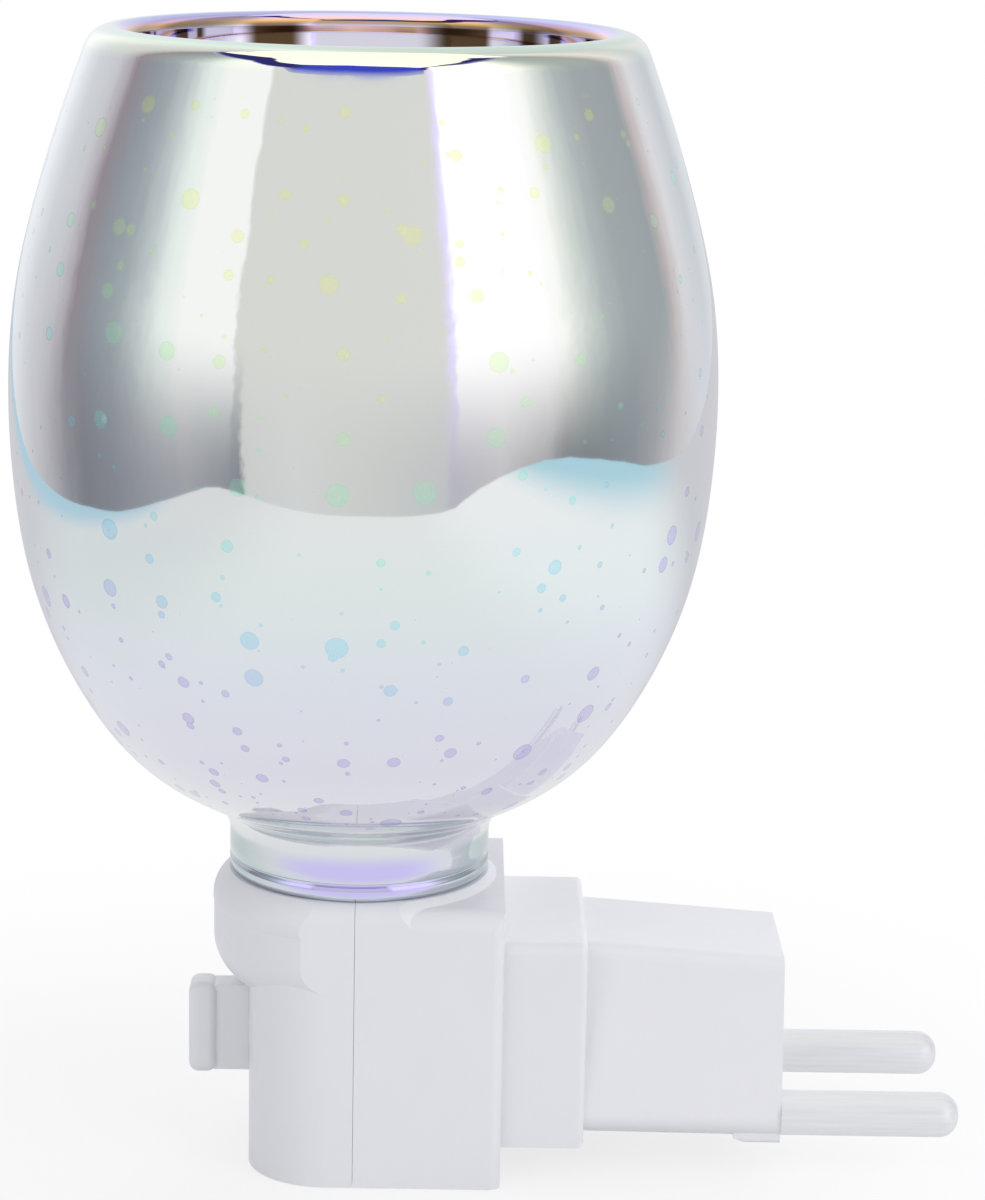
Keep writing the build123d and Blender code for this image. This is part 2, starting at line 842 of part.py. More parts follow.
def lamp_glass():
    """Clear pear-shaped lamp envelope, closed at its neck."""
    rim = lamp_cap_top()
    low = rim - lamp_neck_length
    top = lamp_bottom() + lamp_length
    middle = [
        (radius * lamp_radius, rim + height * (top - rim)) for height, radius in lamp_outline_shares
    ]
    outer = [(lamp_neck_radius, rim)] + middle + [(0, top)]
    bore = lamp_neck_radius - lamp_glass_wall
    inner = [(bore, rim)] + offset_points(outer, lamp_glass_wall) + [(0, top - lamp_glass_wall)]
    neck = [
        (bore, rim),
        (bore, low + lamp_glass_wall),
        (stem_radius, low + lamp_glass_wall),
        (stem_radius, low),
        (lamp_neck_radius, low),
        (lamp_neck_radius, rim),
    ]
    edges = [
        Polyline(*upright(neck)),
        smooth(outer, (0, 1), (-1, 0)),
        Line((0, 0, top), (0, 0, top - lamp_glass_wall)),
        smooth(inner, (0, 1), (-1, 0)),
    ]
    return only(turned(edges))


def lamp_stem():
    """Glass mount that closes the neck and carries the leads."""
    low = lamp_cap_top() - lamp_neck_length
    return only(polygon_turned([
        (0, low),
        (stem_radius, low),
        (stem_radius, low + lamp_glass_wall),
        (stem_top_radius, low + stem_flare_height),
        (stem_top_radius, low + stem_height),
        (0, low + stem_height),
    ]))


def filament_height():
    """Height of the filament's two ends."""
    return lamp_cap_top() - lamp_neck_length + stem_height + lead_rise


def lamp_leads():
    """Two lead wires that rise from the stem and spread to the filament."""
    low = lamp_cap_top() - lamp_neck_length + stem_height
    leads = []
    for side in (-1, 1):
        foot_y = side * stem_top_radius / 2
        top_y = side * lead_spread
        knee = low + lead_rise / 3
        path = Polyline((0, foot_y, low), (0, foot_y, knee), (0, top_y, filament_height()))
        section = Plane((0, foot_y, low)) * Circle(lead_radius)
        leads.append(only(sweep(section, path, transition=Transition.RIGHT)))
    return leads


def lamp_filament():
    """The filament, a thin coiled bow between the leads."""
    top = filament_height()
    clear = lead_radius * 2
    ends = lead_spread - clear
    bow = ThreePointArc((0, -ends, top), (0, 0, top + filament_sag), (0, ends, top))
    section = Plane(bow @ 0, z_dir=bow % 0) * Circle(filament_radius)
    return only(sweep(section, bow))


# Switch

def switch_front():
    """X of the switch body's front face, on the inside of the front wall."""
    return -base_front_reach + wall


def switch_rear():
    """X of the switch body's rear face."""
    return switch_front() + switch_depth


def switch_knob():
    """Turn key: a bar with a rounded bead along its outer edge."""
    back = -base_front_reach - key_gap
    bead_start = -key_reach + key_bead_length
    low = switch_height - key_half_height
    high = switch_height + key_half_height
    bead = block(-key_reach, bead_start, -key_bead_half_width, key_bead_half_width, low, high)
    bead = fillet(bead.edges().filter_by(Axis.Z), key_bead_round)
    bead = fillet(bead.edges().filter_by(Axis.Y).group_by(Axis.X)[0], key_end_round)
    trim = key_bead_round / 3
    waist = block(
        bead_start - trim, back,
        -key_waist_half_width, key_waist_half_width,
        low + trim, high - trim,
    )
    socket_half_width = tenon_half_width + spindle_run_gap
    socket_half_height = tenon_half_height + spindle_run_gap
    socket = block(
        back - tenon_length - fit_gap, back + overrun,
        -socket_half_width, socket_half_width,
        switch_height - socket_half_height, switch_height + socket_half_height,
    )
    return only(bead + waist - socket)


def rotor_front():
    """X of the rotor's front face inside the switch."""
    return switch_front() + switch_wall + rotor_end_gap


def switch_spindle():
    """Moulded rotor with its spindle, its tenon for the key and its rear pivot."""
    back = -base_front_reach - key_gap
    front = rotor_front()
    rear = front + rotor_length
    spindle = rod_x(spindle_radius, back, front, 0, switch_height)
    tenon = block(
        back - tenon_length, back,
        -tenon_half_width, tenon_half_width,
        switch_height - tenon_half_height, switch_height + tenon_half_height,
    )
    rotor = rod_x(rotor_radius, front, rear, 0, switch_height)
    pivot = rod_x(pivot_radius, rear, switch_rear() - rotor_end_gap, 0, switch_height)
    return only(spindle + tenon + rotor + pivot)


def switch_bridge():
    """Moving contact bar on the rotor's rear face."""
    rear = rotor_front() + rotor_length
    bar = block(
        rear, rear + bridge_thickness,
        -bridge_half_width, bridge_half_width,
        switch_height - bridge_half_length, switch_height + bridge_half_length,
    )
    for side in (-1, 1):
        pad_z = switch_height + side * (bridge_half_length - bridge_half_width)
        pad_start = rear + bridge_thickness / 2
        bar = bar + rod_x(bridge_half_width / 2, pad_start, rear + 2 * bridge_thickness, 0, pad_z)
    return only(bar - rod_x(pivot_radius + fit_gap / 3, rear - overrun, rear + overrun, 0, switch_height))


def contact_front():
    """X of the fixed contacts' faces."""
    return rotor_front() + rotor_length + 2 * bridge_thickness + contact_gap


def switch_body():
    """Switch housing, open at the rear, with a boss that fills the hole in the front wall."""
    front = switch_front()
    rear = switch_rear()
    w = switch_half_width
    h = switch_half_height
    body = block(front, rear, -w, w, switch_height - h, switch_height + h)
    room = block(
        front + switch_wall, rear + overrun,
        -w + switch_wall, w - switch_wall,
        switch_height - h + switch_wall, switch_height + h - switch_wall,
    )
    body = body - room
    body = body + rod_x(switch_boss_radius, -base_front_reach, front + switch_wall / 2, 0, switch_height)
    body = body - rod_x(
        spindle_radius + spindle_run_gap, -base_front_reach - overrun, rear + overrun, 0, switch_height
    )
    return only(body)


def switch_cover():
    """Plate that closes the switch, with the rear bearing and two slots for the tags."""
    rear = switch_rear()
    w = switch_half_width - switch_wall - fit_gap / 3
    h = switch_half_height - switch_wall - fit_gap / 3
    cut_start = rear - switch_wall - overrun
    cover = block(rear - switch_wall, rear, -w, w, switch_height - h, switch_height + h)
    cover = cover - rod_x(pivot_radius + spindle_run_gap, cut_start, rear + overrun, 0, switch_height)
    for side in (-1, 1):
        y_low, y_high = contact_tag_span(side)
        gap = fit_gap / 3
        cover = cover - block(
            cut_start, rear + overrun,
            y_low - gap, y_high + gap,
            switch_height - contact_pad_half_height - gap, switch_height + contact_pad_half_height + gap,
        )
    return only(cover)


def contact_tag_span(side):
    """The two Y values of one fixed contact's tag."""
    outer = side * contact_pad_outer
    return sorted((outer - side * contact_tag_width, outer))


def switch_contact(side):
    """Fixed contact: a pad in front of the rotor and a tag out through the cover."""
    front = contact_front()
    y_low, y_high = sorted((side * contact_pad_inner, side * contact_pad_outer))
    low = switch_height - contact_pad_half_height
    high = switch_height + contact_pad_half_height
    pad = block(front, front + contact_thickness, y_low, y_high, low, high)
    tag_low, tag_high = contact_tag_span(side)
    tag = block(front, switch_rear() + contact_tag_length, tag_low, tag_high, low, high)
    return only(pad + tag)


# Wires

def wire(points):
    """Insulated wire along straight runs joined by arcs as large as the runs allow."""
    places = [Vector(*p) for p in points]
    radii = []
    for before, here, after in zip(places, places[1:], places[2:]):
        run_in = here - before
        run_out = after - here
        turn = math.radians(run_in.get_angle(run_out))
        radii.append(wire_bend_share * min(run_in.length, run_out.length) / math.tan(turn / 2))
    path = FilletPolyline(*places, radius=radii)
    section = Plane(path @ 0, z_dir=path % 0) * Circle(wire_radius)
    return only(sweep(section, path))


def pin_wire_start(side):
    """Where a pin's wire leaves its terminal's barrel, and the point it heads for."""
    y, z = tab_middle(side)
    x = plug_reach - pin_shank_length - pin_tab_length - terminal_wall - wire_end_gap
    return (x, y, z), (x - terminal_barrel_length * 2, y, z)


def window_middle():
    """Height of the middle of the wire window."""
    return (window_low + window_high) / 2


def live_wire():
    """Wire from the live pin to the switch."""
    start, out = pin_wire_start(-1)
    tag_y = -contact_pad_outer + contact_tag_width / 2
    tag_x = switch_rear() + contact_tag_length + wire_end_gap
    return wire([
        start,
        out,
        (step_reach - wall, -window_half_width, window_middle() - wall),
        (base_back_reach, tag_y, window_middle()),
        (front_boss_reach * 2, tag_y, switch_height + wire_radius),
        (tag_x, tag_y, switch_height),
    ])


def neutral_wire():
    """Wire from the neutral pin to the lampholder's screw shell."""
    start, out = pin_wire_start(1)
    tag_x = shell_tag_offset + tag_thickness / 2 + wire_end_gap
    tag_z = holder_bottom - tag_drop / 2
    room = base_back_reach - wall - tag_x
    turn_down, turn_in = wire_turn_shares
    return wire([
        start,
        out,
        (step_reach - wall, window_half_width, window_middle() - wall),
        (base_back_reach, window_half_width - wire_radius * 2, window_middle()),
        (tag_x + turn_down * room, tag_width, window_middle() + wire_radius),
        (tag_x + turn_in * room, 0, tag_z),
        (tag_x, 0, tag_z),
    ])


def switched_wire():
    """Wire from the switch to the lampholder's centre contact."""
    tag_y = contact_pad_outer - contact_tag_width / 2
    tag_x = switch_rear() + contact_tag_length + wire_end_gap
    end_x = centre_tag_offset + tag_thickness / 2 + wire_end_gap
    end_z = holder_bottom - tag_drop / 2
    turn_x = end_x + wire_radius * 2.6
    return wire([
        (tag_x, tag_y, switch_height),
        (turn_x, tag_y, switch_height + wire_radius / 3),
        (turn_x + wire_radius / 5, tag_y - wire_radius, end_z - tag_drop / 2),
        (turn_x, 0, end_z),
        (end_x, 0, end_z),
    ])


nodes = {
    "glass_shade": glass_shade(),
    "front_shell": front_shell(),
    "rear_shell": rear_shell(),
    "plug_body": plug_body(),
    "live_pin": plug_pin(-1),
    "neutral_pin": plug_pin(1),
    "live_terminal": pin_terminal(-1),
    "neutral_terminal": pin_terminal(1),
    "housing_screws": housing_screws(),
    "plug_screws": plug_screws(),
    "lampholder_body": lampholder_body(),
    "lampholder_screw_shell": lampholder_screw_shell(),
    "lampholder_centre_contact": lampholder_centre_contact(),
    "lamp_tip_contact": lamp_tip_contact(),
    "lamp_insulator": lamp_insulator(),
    "lamp_cap": lamp_cap(),
    "lamp_glass": lamp_glass(),
    "lamp_stem": lamp_stem(),
    "lamp_leads": lamp_leads(),
    "lamp_filament": lamp_filament(),
    "switch_knob": switch_knob(),
    "switch_spindle": switch_spindle(),
    "switch_bridge": switch_bridge(),
    "switch_body": switch_body(),
    "switch_cover": switch_cover(),
    "switch_live_contact": switch_contact(-1),
    "switch_lamp_contact": switch_contact(1),
    "live_wire": live_wire(),
    "neutral_wire": neutral_wire(),
    "switched_wire": switched_wire(),
}

os.makedirs("parts", exist_ok=True)
for name, shape in nodes.items():
    solid = Compound(children=shape) if isinstance(shape, list) else shape
    export_step(solid, "parts/" + name + ".step")
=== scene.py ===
import json
import math

import bpy
import numpy as np
from mathutils import Matrix, Vector


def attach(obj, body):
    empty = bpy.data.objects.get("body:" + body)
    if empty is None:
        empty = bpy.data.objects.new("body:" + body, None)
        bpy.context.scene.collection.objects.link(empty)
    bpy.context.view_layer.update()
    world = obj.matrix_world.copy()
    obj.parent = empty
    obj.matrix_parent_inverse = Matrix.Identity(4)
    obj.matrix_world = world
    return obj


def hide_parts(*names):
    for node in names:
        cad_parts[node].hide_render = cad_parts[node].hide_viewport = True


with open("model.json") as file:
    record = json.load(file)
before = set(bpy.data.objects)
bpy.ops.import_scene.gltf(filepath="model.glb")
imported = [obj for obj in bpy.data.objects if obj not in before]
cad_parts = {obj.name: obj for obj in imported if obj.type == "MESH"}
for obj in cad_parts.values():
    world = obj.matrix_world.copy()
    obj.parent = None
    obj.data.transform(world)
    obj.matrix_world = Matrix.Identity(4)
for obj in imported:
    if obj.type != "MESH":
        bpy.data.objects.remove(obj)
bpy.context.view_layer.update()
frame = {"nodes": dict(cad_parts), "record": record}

nodes = frame["nodes"]
MM = 0.001
# The glass's foot above the table and its height, in millimetres
GLASS_FOOT = 31.2
GLASS_HEIGHT = 89.1


# Small helpers for node trees

def add(tree, kind, settings=None, **inputs):
    """One shader node; inputs are values, colours or other nodes' outputs."""
    node = tree.nodes.new(kind)
    for name, value in (settings or {}).items():
        setattr(node, name, value)
    for name, value in inputs.items():
        key = int(name[1:]) if name[0] == "i" and name[1:].isdigit() else name.replace("_", " ")
        socket = node.inputs[key]
        if isinstance(value, bpy.types.NodeSocket):
            tree.links.new(value, socket)
        else:
            socket.default_value = value
    return node


def maths(tree, operation, a, b=0.0, clamp=False):
    """A maths node's output."""
    return add(tree, "ShaderNodeMath", {"operation": operation, "use_clamp": clamp}, i0=a, i1=b).outputs[0]


def between(tree, value, low, high, out_low=0.0, out_high=1.0):
    """A value mapped smoothly from one range to another and held inside it."""
    node = add(tree, "ShaderNodeMapRange", {"interpolation_type": "SMOOTHSTEP", "clamp": True},
               Value=value, From_Min=low, From_Max=high, To_Min=out_low, To_Max=out_high)
    return node.outputs[0]


def between_linear(tree, value, low, high):
    """A value mapped evenly from a range to 0 to 1."""
    node = add(tree, "ShaderNodeMapRange", {"clamp": True}, Value=value, From_Min=low, From_Max=high)
    return node.outputs[0]


def mixed(tree, factor, a, b):
    """Two colours mixed by a factor."""
    node = add(tree, "ShaderNodeMix", {"data_type": "RGBA", "clamp_factor": True})
    for socket, value in ((node.inputs[0], factor), (node.inputs[6], a), (node.inputs[7], b)):
        if isinstance(value, bpy.types.NodeSocket):
            tree.links.new(value, socket)
        else:
            socket.default_value = value
    return node.outputs[2]


def ramp(tree, factor, stops):
    """A colour ramp through (place, colour) stops."""
    node = add(tree, "ShaderNodeValToRGB", None, Fac=factor)
    elements = node.color_ramp.elements
    while len(elements) > 1:
        elements.remove(elements[0])
    elements[0].position = stops[0][0]
    elements[0].color = stops[0][1]
    for position, colour in stops[1:]:
        elements.new(position).color = colour
    return node.outputs["Color"]


def rgb(r, g, b):
    """A linear colour from display values between 0 and 1."""
    def linear(v):
        return v / 12.92 if v <= 0.04045 else ((v + 0.055) / 1.055) ** 2.4
    return (linear(r), linear(g), linear(b), 1.0)


def dimmed(colour, level):
    """A colour at a share of its brightness."""
    return tuple(part * level for part in colour[:3]) + (1.0,)


def noise(tree, vector, scale, detail=2.0):
    """Noise at a place, around one half."""
    return add(tree, "ShaderNodeTexNoise", None, Vector=vector, Scale=scale, Detail=detail).outputs["Fac"]


def bare_material(name):
    """A material without a shader, its node tree and its surface input."""
    material = bpy.data.materials.new(name)
    material.use_nodes = True
    tree = material.node_tree
    tree.nodes.clear()
    return material, tree, add(tree, "ShaderNodeOutputMaterial").inputs[0]


def new_material(name):
    """A material with its node tree and its principled shader."""
    material, tree, surface = bare_material(name)
    shader = add(tree, "ShaderNodeBsdfPrincipled")
    tree.links.new(shader.outputs[0], surface)
    return material, tree, shader


def place(tree):
    """The place on the object, in metres."""
    return add(tree, "ShaderNodeTexCoord").outputs["Object"]


def split(tree, vector):
    """A vector's three parts."""
    return add(tree, "ShaderNodeSeparateXYZ", None, Vector=vector).outputs


def length_of(tree, vector):
    """A vector's length."""
    return add(tree, "ShaderNodeVectorMath", {"operation": "LENGTH"}, i0=vector).outputs["Value"]


def bumped(tree, shader, height, distance, strength=1.0):
    """A bump on a shader's normal."""
    bump = add(tree, "ShaderNodeBump", None, Height=height, Distance=distance, Strength=strength)
    tree.links.new(bump.outputs[0], shader.inputs["Normal"])


# Materials

def plastic(name, colour, roughness):
    """Moulded plastic: slight cloudiness, a fine moulded grain and uneven gloss."""
    material, tree, shader = new_material(name)
    where = place(tree)
    cloud = noise(tree, where, 60.0, 3.0)
    tree.links.new(mixed(tree, cloud, dimmed(colour, 0.94), colour), shader.inputs["Base Color"])
    fine = noise(tree, where, 900.0, 4.0)
    gloss = between(tree, fine, 0.3, 0.7, roughness - 0.05, roughness + 0.07)
    tree.links.new(gloss, shader.inputs["Roughness"])
    slow = noise(tree, where, 140.0)
    height = maths(tree, "ADD", fine, maths(tree, "MULTIPLY", slow, 4.0))
    bumped(tree, shader, height, 0.02 * MM)
    shader.inputs["IOR"].default_value = 1.5
    return material


def metal(name, colour, roughness, along="X", metallic=1.0):
    """Drawn or rolled metal with fine streaks along one axis."""
    material, tree, shader = new_material(name)
    stretch = {"X": (0.05, 1, 1), "Y": (1, 0.05, 1), "Z": (1, 1, 0.05)}[along]
    mapped = add(tree, "ShaderNodeMapping", None, Vector=place(tree), Scale=stretch).outputs[0]
    lines = noise(tree, mapped, 2500.0, 3.0)
    tree.links.new(mixed(tree, lines, dimmed(colour, 0.8), colour), shader.inputs["Base Color"])
    shader.inputs["Metallic"].default_value = metallic
    rough = between(tree, lines, 0.3, 0.7, roughness, roughness * 1.25)
    tree.links.new(rough, shader.inputs["Roughness"])
    bumped(tree, shader, lines, 0.01 * MM)
    return material


def clear_glass(name, colour):
    """Clear thin glass with faint seeds and streaks."""
    material, tree, shader = new_material(name)
    streaks = noise(tree, place(tree), 220.0)
    tree.links.new(mixed(tree, streaks, dimmed(colour, 0.95), colour), shader.inputs["Base Color"])
    shader.inputs["Transmission Weight"].default_value = 1.0
    shader.inputs["IOR"].default_value = 1.45
    shader.inputs["Roughness"].default_value = 0.02
    bumped(tree, shader, streaks, 0.02 * MM)
    return material


# The glass outline's first points make its foot ring, and the next ones its outer wall
FOOT_POINTS = 13
WALL_POINTS = 150


def unrolled(tree, x, y, z):
    """The egg's wall rolled out flat, as turn and arc length over radius, and the wall's radius."""
    outline = glass_outline()[FOOT_POINTS:FOOT_POINTS + WALL_POINTS]
    widest = 40.0
    lengths = [0.0]
    for (r0, z0), (r1, z1) in zip(outline, outline[1:]):
        lengths.append(lengths[-1] + math.hypot(r1 - r0, z1 - z0) / ((r0 + r1) / 2))
    low, high = outline[0][1], outline[-1][1]
    stops, radii = [], []
    for i in np.linspace(0, len(outline) - 1, 30).round().astype(int):
        share = (outline[i][1] - low) / (high - low)
        stops.append((share, (lengths[i] / lengths[-1],) * 3 + (1.0,)))
        radii.append((share, (outline[i][0] / widest,) * 3 + (1.0,)))
    share = between_linear(tree, z, low * MM, high * MM)
    rise = maths(tree, "MULTIPLY", ramp(tree, share, stops), lengths[-1])
    radius = maths(tree, "MULTIPLY", ramp(tree, share, radii), widest)
    turn = maths(tree, "ARCTAN2", x, maths(tree, "MULTIPLY", y, -1.0))
    return add(tree, "ShaderNodeCombineXYZ", None, X=turn, Y=rise).outputs[0], radius


# Layers of dots: cells to a radius of wall, smallest and largest size in millimetres, and a shift
DOT_LAYERS = ((4.5, -0.05, 1.20, 1.37), (6.0, -0.45, 0.70, 3.71), (9.0, -0.30, 0.28, 7.13))


def dots(tree, flat, radius, count, low, high, shift):
    """Round dots of many sizes: 1 inside them, and a second output that is 1 in their thin outline."""
    moved = add(tree, "ShaderNodeMapping", None,
                Vector=flat, Scale=(count, count, 1.0), Location=(0.0, shift, 0.0)).outputs[0]
    cells = add(tree, "ShaderNodeTexVoronoi", {"feature": "F1", "voronoi_dimensions": "2D"},
                Vector=moved, Scale=1.0, Randomness=0.85)
    share = add(tree, "ShaderNodeSeparateColor", None, Color=cells.outputs["Color"]).outputs[0]
    size = maths(tree, "ADD", maths(tree, "MULTIPLY", share, high - low), low)
    here = maths(tree, "MULTIPLY", cells.outputs["Distance"], maths(tree, "DIVIDE", radius, count))
    gap = maths(tree, "SUBTRACT", size, here)
    # No dot where the unrolled wall's two ends meet, on the far side
    centre = maths(tree, "ABSOLUTE", split(tree, cells.outputs["Position"])[0])
    whole = between(tree, centre, count * math.pi - 0.3, count * math.pi - 0.35)
    inside = maths(tree, "MULTIPLY", between(tree, gap, -0.04, 0.04), whole)
    core = between(tree, gap, 0.10, 0.20)
    return inside, maths(tree, "SUBTRACT", inside, core, clamp=True)


def film_colour(tree, where, height, edge):
    """A dot's interference colour: yellow high on the wall, then green, aqua, blue and violet."""
    drift = noise(tree, where, 18.0)
    shifted = maths(tree, "ADD", height, maths(tree, "MULTIPLY", maths(tree, "SUBTRACT", drift, 0.5), 0.10))
    tone = maths(tree, "SUBTRACT", shifted, maths(tree, "MULTIPLY", edge, 0.55))
    return ramp(tree, tone, [
        (0.00, rgb(0.82, 0.79, 0.93)),
        (0.10, rgb(0.82, 0.80, 0.95)),
        (0.19, rgb(0.79, 0.87, 0.96)),
        (0.30, rgb(0.77, 0.92, 0.96)),
        (0.42, rgb(0.79, 0.96, 0.93)),
        (0.56, rgb(0.87, 0.97, 0.86)),
        (0.74, rgb(0.95, 0.96, 0.80)),
        (1.00, rgb(0.95, 0.96, 0.78)),
    ])


def lip_tint_and_dish_reflection(tree, colour, radius, height_mm, x_mm):
    """The coating's colours on the rolled lip: pale green outside its crest, gold to lilac inside; deep in
    the dish, lilac with painted dark reflections.
    """
    share = between_linear(tree, height_mm, 116.3, 120.3)
    inside = ramp(tree, share, [
        (0.00, rgb(0.93, 0.92, 1.00)),
        (0.50, rgb(0.92, 0.89, 1.00)),
        (0.61, rgb(0.72, 0.66, 0.80)),
        (0.69, rgb(0.66, 0.53, 0.34)),
        (0.77, rgb(0.93, 0.72, 0.45)),
        (0.84, rgb(0.95, 0.80, 0.90)),
        (0.92, rgb(0.84, 0.79, 0.98)),
        (0.98, rgb(0.74, 0.79, 0.96)),
        (1.00, rgb(0.78, 0.84, 0.96)),
    ])
    outside = ramp(tree, share, [
        (0.40, rgb(0.95, 0.95, 0.95)),
        (0.62, rgb(1.00, 1.00, 0.95)),
        (0.84, rgb(1.00, 1.00, 0.93)),
        (0.93, rgb(0.86, 0.93, 0.86)),
        (1.00, rgb(0.84, 0.92, 0.86)),
    ])
    lip = mixed(tree, between(tree, radius, 25.7, 26.3), inside, outside)
    rolled = mixed(tree, between(tree, height_mm, 116.3, 117.3), colour, lip)
    # Deep in the dish the coating is lilac, with dark brown painted reflections on the far wall to both
    # sides and a lighter gap in them on the right
    left = maths(tree, "MULTIPLY", between(tree, x_mm, -14.5, -12.5), between(tree, x_mm, -6.5, -9.0))
    right = maths(tree, "MULTIPLY", between(tree, x_mm, 4.5, 8.0), between(tree, x_mm, 19.0, 17.0))
    window = maths(tree, "MULTIPLY", between(tree, x_mm, 12.0, 13.0), between(tree, x_mm, 16.3, 15.3))
    right = maths(tree, "SUBTRACT", right, maths(tree, "MULTIPLY", window, 0.8), clamp=True)
    painted_dark_reflection = maths(tree, "ADD", left, right, clamp=True)
    painted_dark_reflection = maths(tree, "MULTIPLY", painted_dark_reflection, between(tree, height_mm, 112.5, 115.0))
    dish = mixed(tree, painted_dark_reflection, rgb(0.94, 0.92, 1.00), rgb(0.30, 0.22, 0.12))
    inner = maths(tree, "MULTIPLY", between(tree, radius, 25.6, 25.2), between(tree, height_mm, 96.0, 98.0))
    inner = maths(tree, "MULTIPLY", inner, between(tree, height_mm, 119.4, 118.6))
    return mixed(tree, inner, rolled, dish)


def mirrored_glass():
    """Silvered glass: a faint interference tint that follows the height, etched round dots, painted shade on
    the neck's sides and painted dark reflections deep in the dish.
    """
    material, tree, shader = new_material("mirrored_glass")
    where = place(tree)
    x, y, z = split(tree, where)
    height_mm = maths(tree, "DIVIDE", z, MM)
    flat = add(tree, "ShaderNodeCombineXYZ", None, X=x, Y=y).outputs[0]
    radius = maths(tree, "DIVIDE", length_of(tree, flat), MM)
    height = between_linear(tree, height_mm, GLASS_FOOT, GLASS_FOOT + GLASS_HEIGHT)
    edge = add(tree, "ShaderNodeLayerWeight", None, Blend=0.5).outputs["Facing"]
    coat = ramp(tree, height, [
        (0.000, rgb(0.88, 0.89, 0.92)),
        (0.090, rgb(0.93, 0.93, 0.94)),
        (0.200, rgb(0.91, 0.90, 0.95)),
        (0.300, rgb(0.91, 0.92, 0.96)),
        (0.420, rgb(0.92, 0.95, 0.95)),
        (0.560, rgb(0.95, 0.95, 0.95)),
        (1.000, rgb(0.95, 0.95, 0.95)),
    ])
    # Teal coating tint with painted shade: the neck's sides are darker where they turn away from view
    neck_tint_and_painted_shade = maths(tree, "MULTIPLY", between(tree, edge, 0.15, 0.7), between(tree, height, 0.060, 0.050))
    colour = mixed(tree, neck_tint_and_painted_shade, coat, rgb(0.77, 0.82, 0.83))
    band = maths(tree, "MULTIPLY", between(tree, height, 0.062, 0.040), between(tree, edge, 0.34, 0.08))
    colour = mixed(tree, band, colour, rgb(0.83, 0.80, 1.00))
    colour = lip_tint_and_dish_reflection(tree, colour, radius, height_mm, maths(tree, "DIVIDE", x, MM))
    film = film_colour(tree, where, height, edge)
    body = between(tree, height, 0.09, 0.12)
    body = maths(tree, "MULTIPLY", body, between(tree, height_mm, 116.0, 115.0))
    rim_strength = between(tree, edge, 0.1, 0.7, 0.05, 0.35)
    silver = 1.0
    flat_place, wall_radius = unrolled(tree, x, y, z)
    for layer in DOT_LAYERS:
        inside, rim = dots(tree, flat_place, wall_radius, *layer)
        inside = maths(tree, "MULTIPLY", inside, body)
        colour = mixed(tree, maths(tree, "MULTIPLY", inside, 0.9), colour, film)
        rim = maths(tree, "MULTIPLY", maths(tree, "MULTIPLY", rim, body), rim_strength)
        colour = mixed(tree, rim, colour, rgb(0.66, 0.66, 0.78))
        silver = maths(tree, "SUBTRACT", silver, maths(tree, "MULTIPLY", inside, 0.16), clamp=True)
    tree.links.new(colour, shader.inputs["Base Color"])
    tree.links.new(silver, shader.inputs["Metallic"])
    shader.inputs["Roughness"].default_value = 0.035
    shader.inputs["Coat Weight"].default_value = 0.3
    shader.inputs["Coat Roughness"].default_value = 0.01
    bumped(tree, shader, noise(tree, where, 38.0, 1.0), 0.15 * MM, 0.6)
    return material


finishes = {
    "white_plastic": plastic("white_plastic", rgb(0.92, 0.92, 0.934), 0.33),
    "holder_plastic": plastic("holder_plastic", rgb(0.90, 0.90, 0.88), 0.45),
    # Painted highlight: the plated pins are near white and partly matt, standing in for their bright shine
    "pin_metal": metal("pin_metal", rgb(0.97, 0.97, 0.98), 0.50, metallic=0.55),
    "brass": metal("brass", rgb(0.86, 0.72, 0.42), 0.25),
    "steel": metal("steel", rgb(0.72, 0.72, 0.74), 0.30),
    "solder": metal("solder", rgb(0.66, 0.66, 0.67), 0.45, "Z"),
    "black_glass": plastic("black_glass", rgb(0.09, 0.09, 0.10), 0.12),
    "nickel": metal("nickel", rgb(0.86, 0.84, 0.80), 0.20, "Y"),
    "clear_glass": clear_glass("clear_glass", rgb(0.98, 0.99, 0.99)),
    "filament_wire": metal("filament_wire", rgb(0.45, 0.45, 0.46), 0.35, "Y"),
    "brown_wire": plastic("brown_wire", rgb(0.38, 0.20, 0.12), 0.40),
    "blue_wire": plastic("blue_wire", rgb(0.15, 0.32, 0.72), 0.40),
}
slots = {part["node"]: part["material_slot"] for part in frame["record"]["subparts"]}
for name, piece in nodes.items():
    if slots[name] in finishes:
        piece.data.materials.clear()
        piece.data.materials.append(finishes[slots[name]])


# The blown glass, turned from its wall's outline as one closed skin

def clamped_spline(points, start, end, count):
    """A smooth curve through points, with given directions at its two ends."""
    points = np.array(points, float)
    chords = np.linalg.norm(np.diff(points, axis=0), axis=1)
    knots = np.concatenate([[0.0], np.cumsum(chords)])
    size = len(points)
    matrix = np.zeros((size, size))
    right = np.zeros((size, 2))
    matrix[0, 0] = matrix[-1, -1] = 1.0
    right[0], right[-1] = start, end
    for i in range(1, size - 1):
        before, after = chords[i - 1], chords[i]
        matrix[i, i - 1:i + 2] = (after, 2 * (before + after), before)
        rise, next_rise = points[i] - points[i - 1], points[i + 1] - points[i]
        right[i] = 3 * (after / before * rise + before / after * next_rise)
    slopes = np.linalg.solve(matrix, right)
    result = []
    for t in np.linspace(0.0, knots[-1], count):
        i = min(int(np.searchsorted(knots, t, side="right")) - 1, size - 2)
        h = chords[i]
        u = (t - knots[i]) / h
        result.append(
            (2 * u**3 - 3 * u**2 + 1) * points[i] + (u**3 - 2 * u**2 + u) * h * slopes[i]
            + (3 * u**2 - 2 * u**3) * points[i + 1] + (u**3 - u**2) * h * slopes[i + 1]
        )
    return [tuple(p) for p in result]


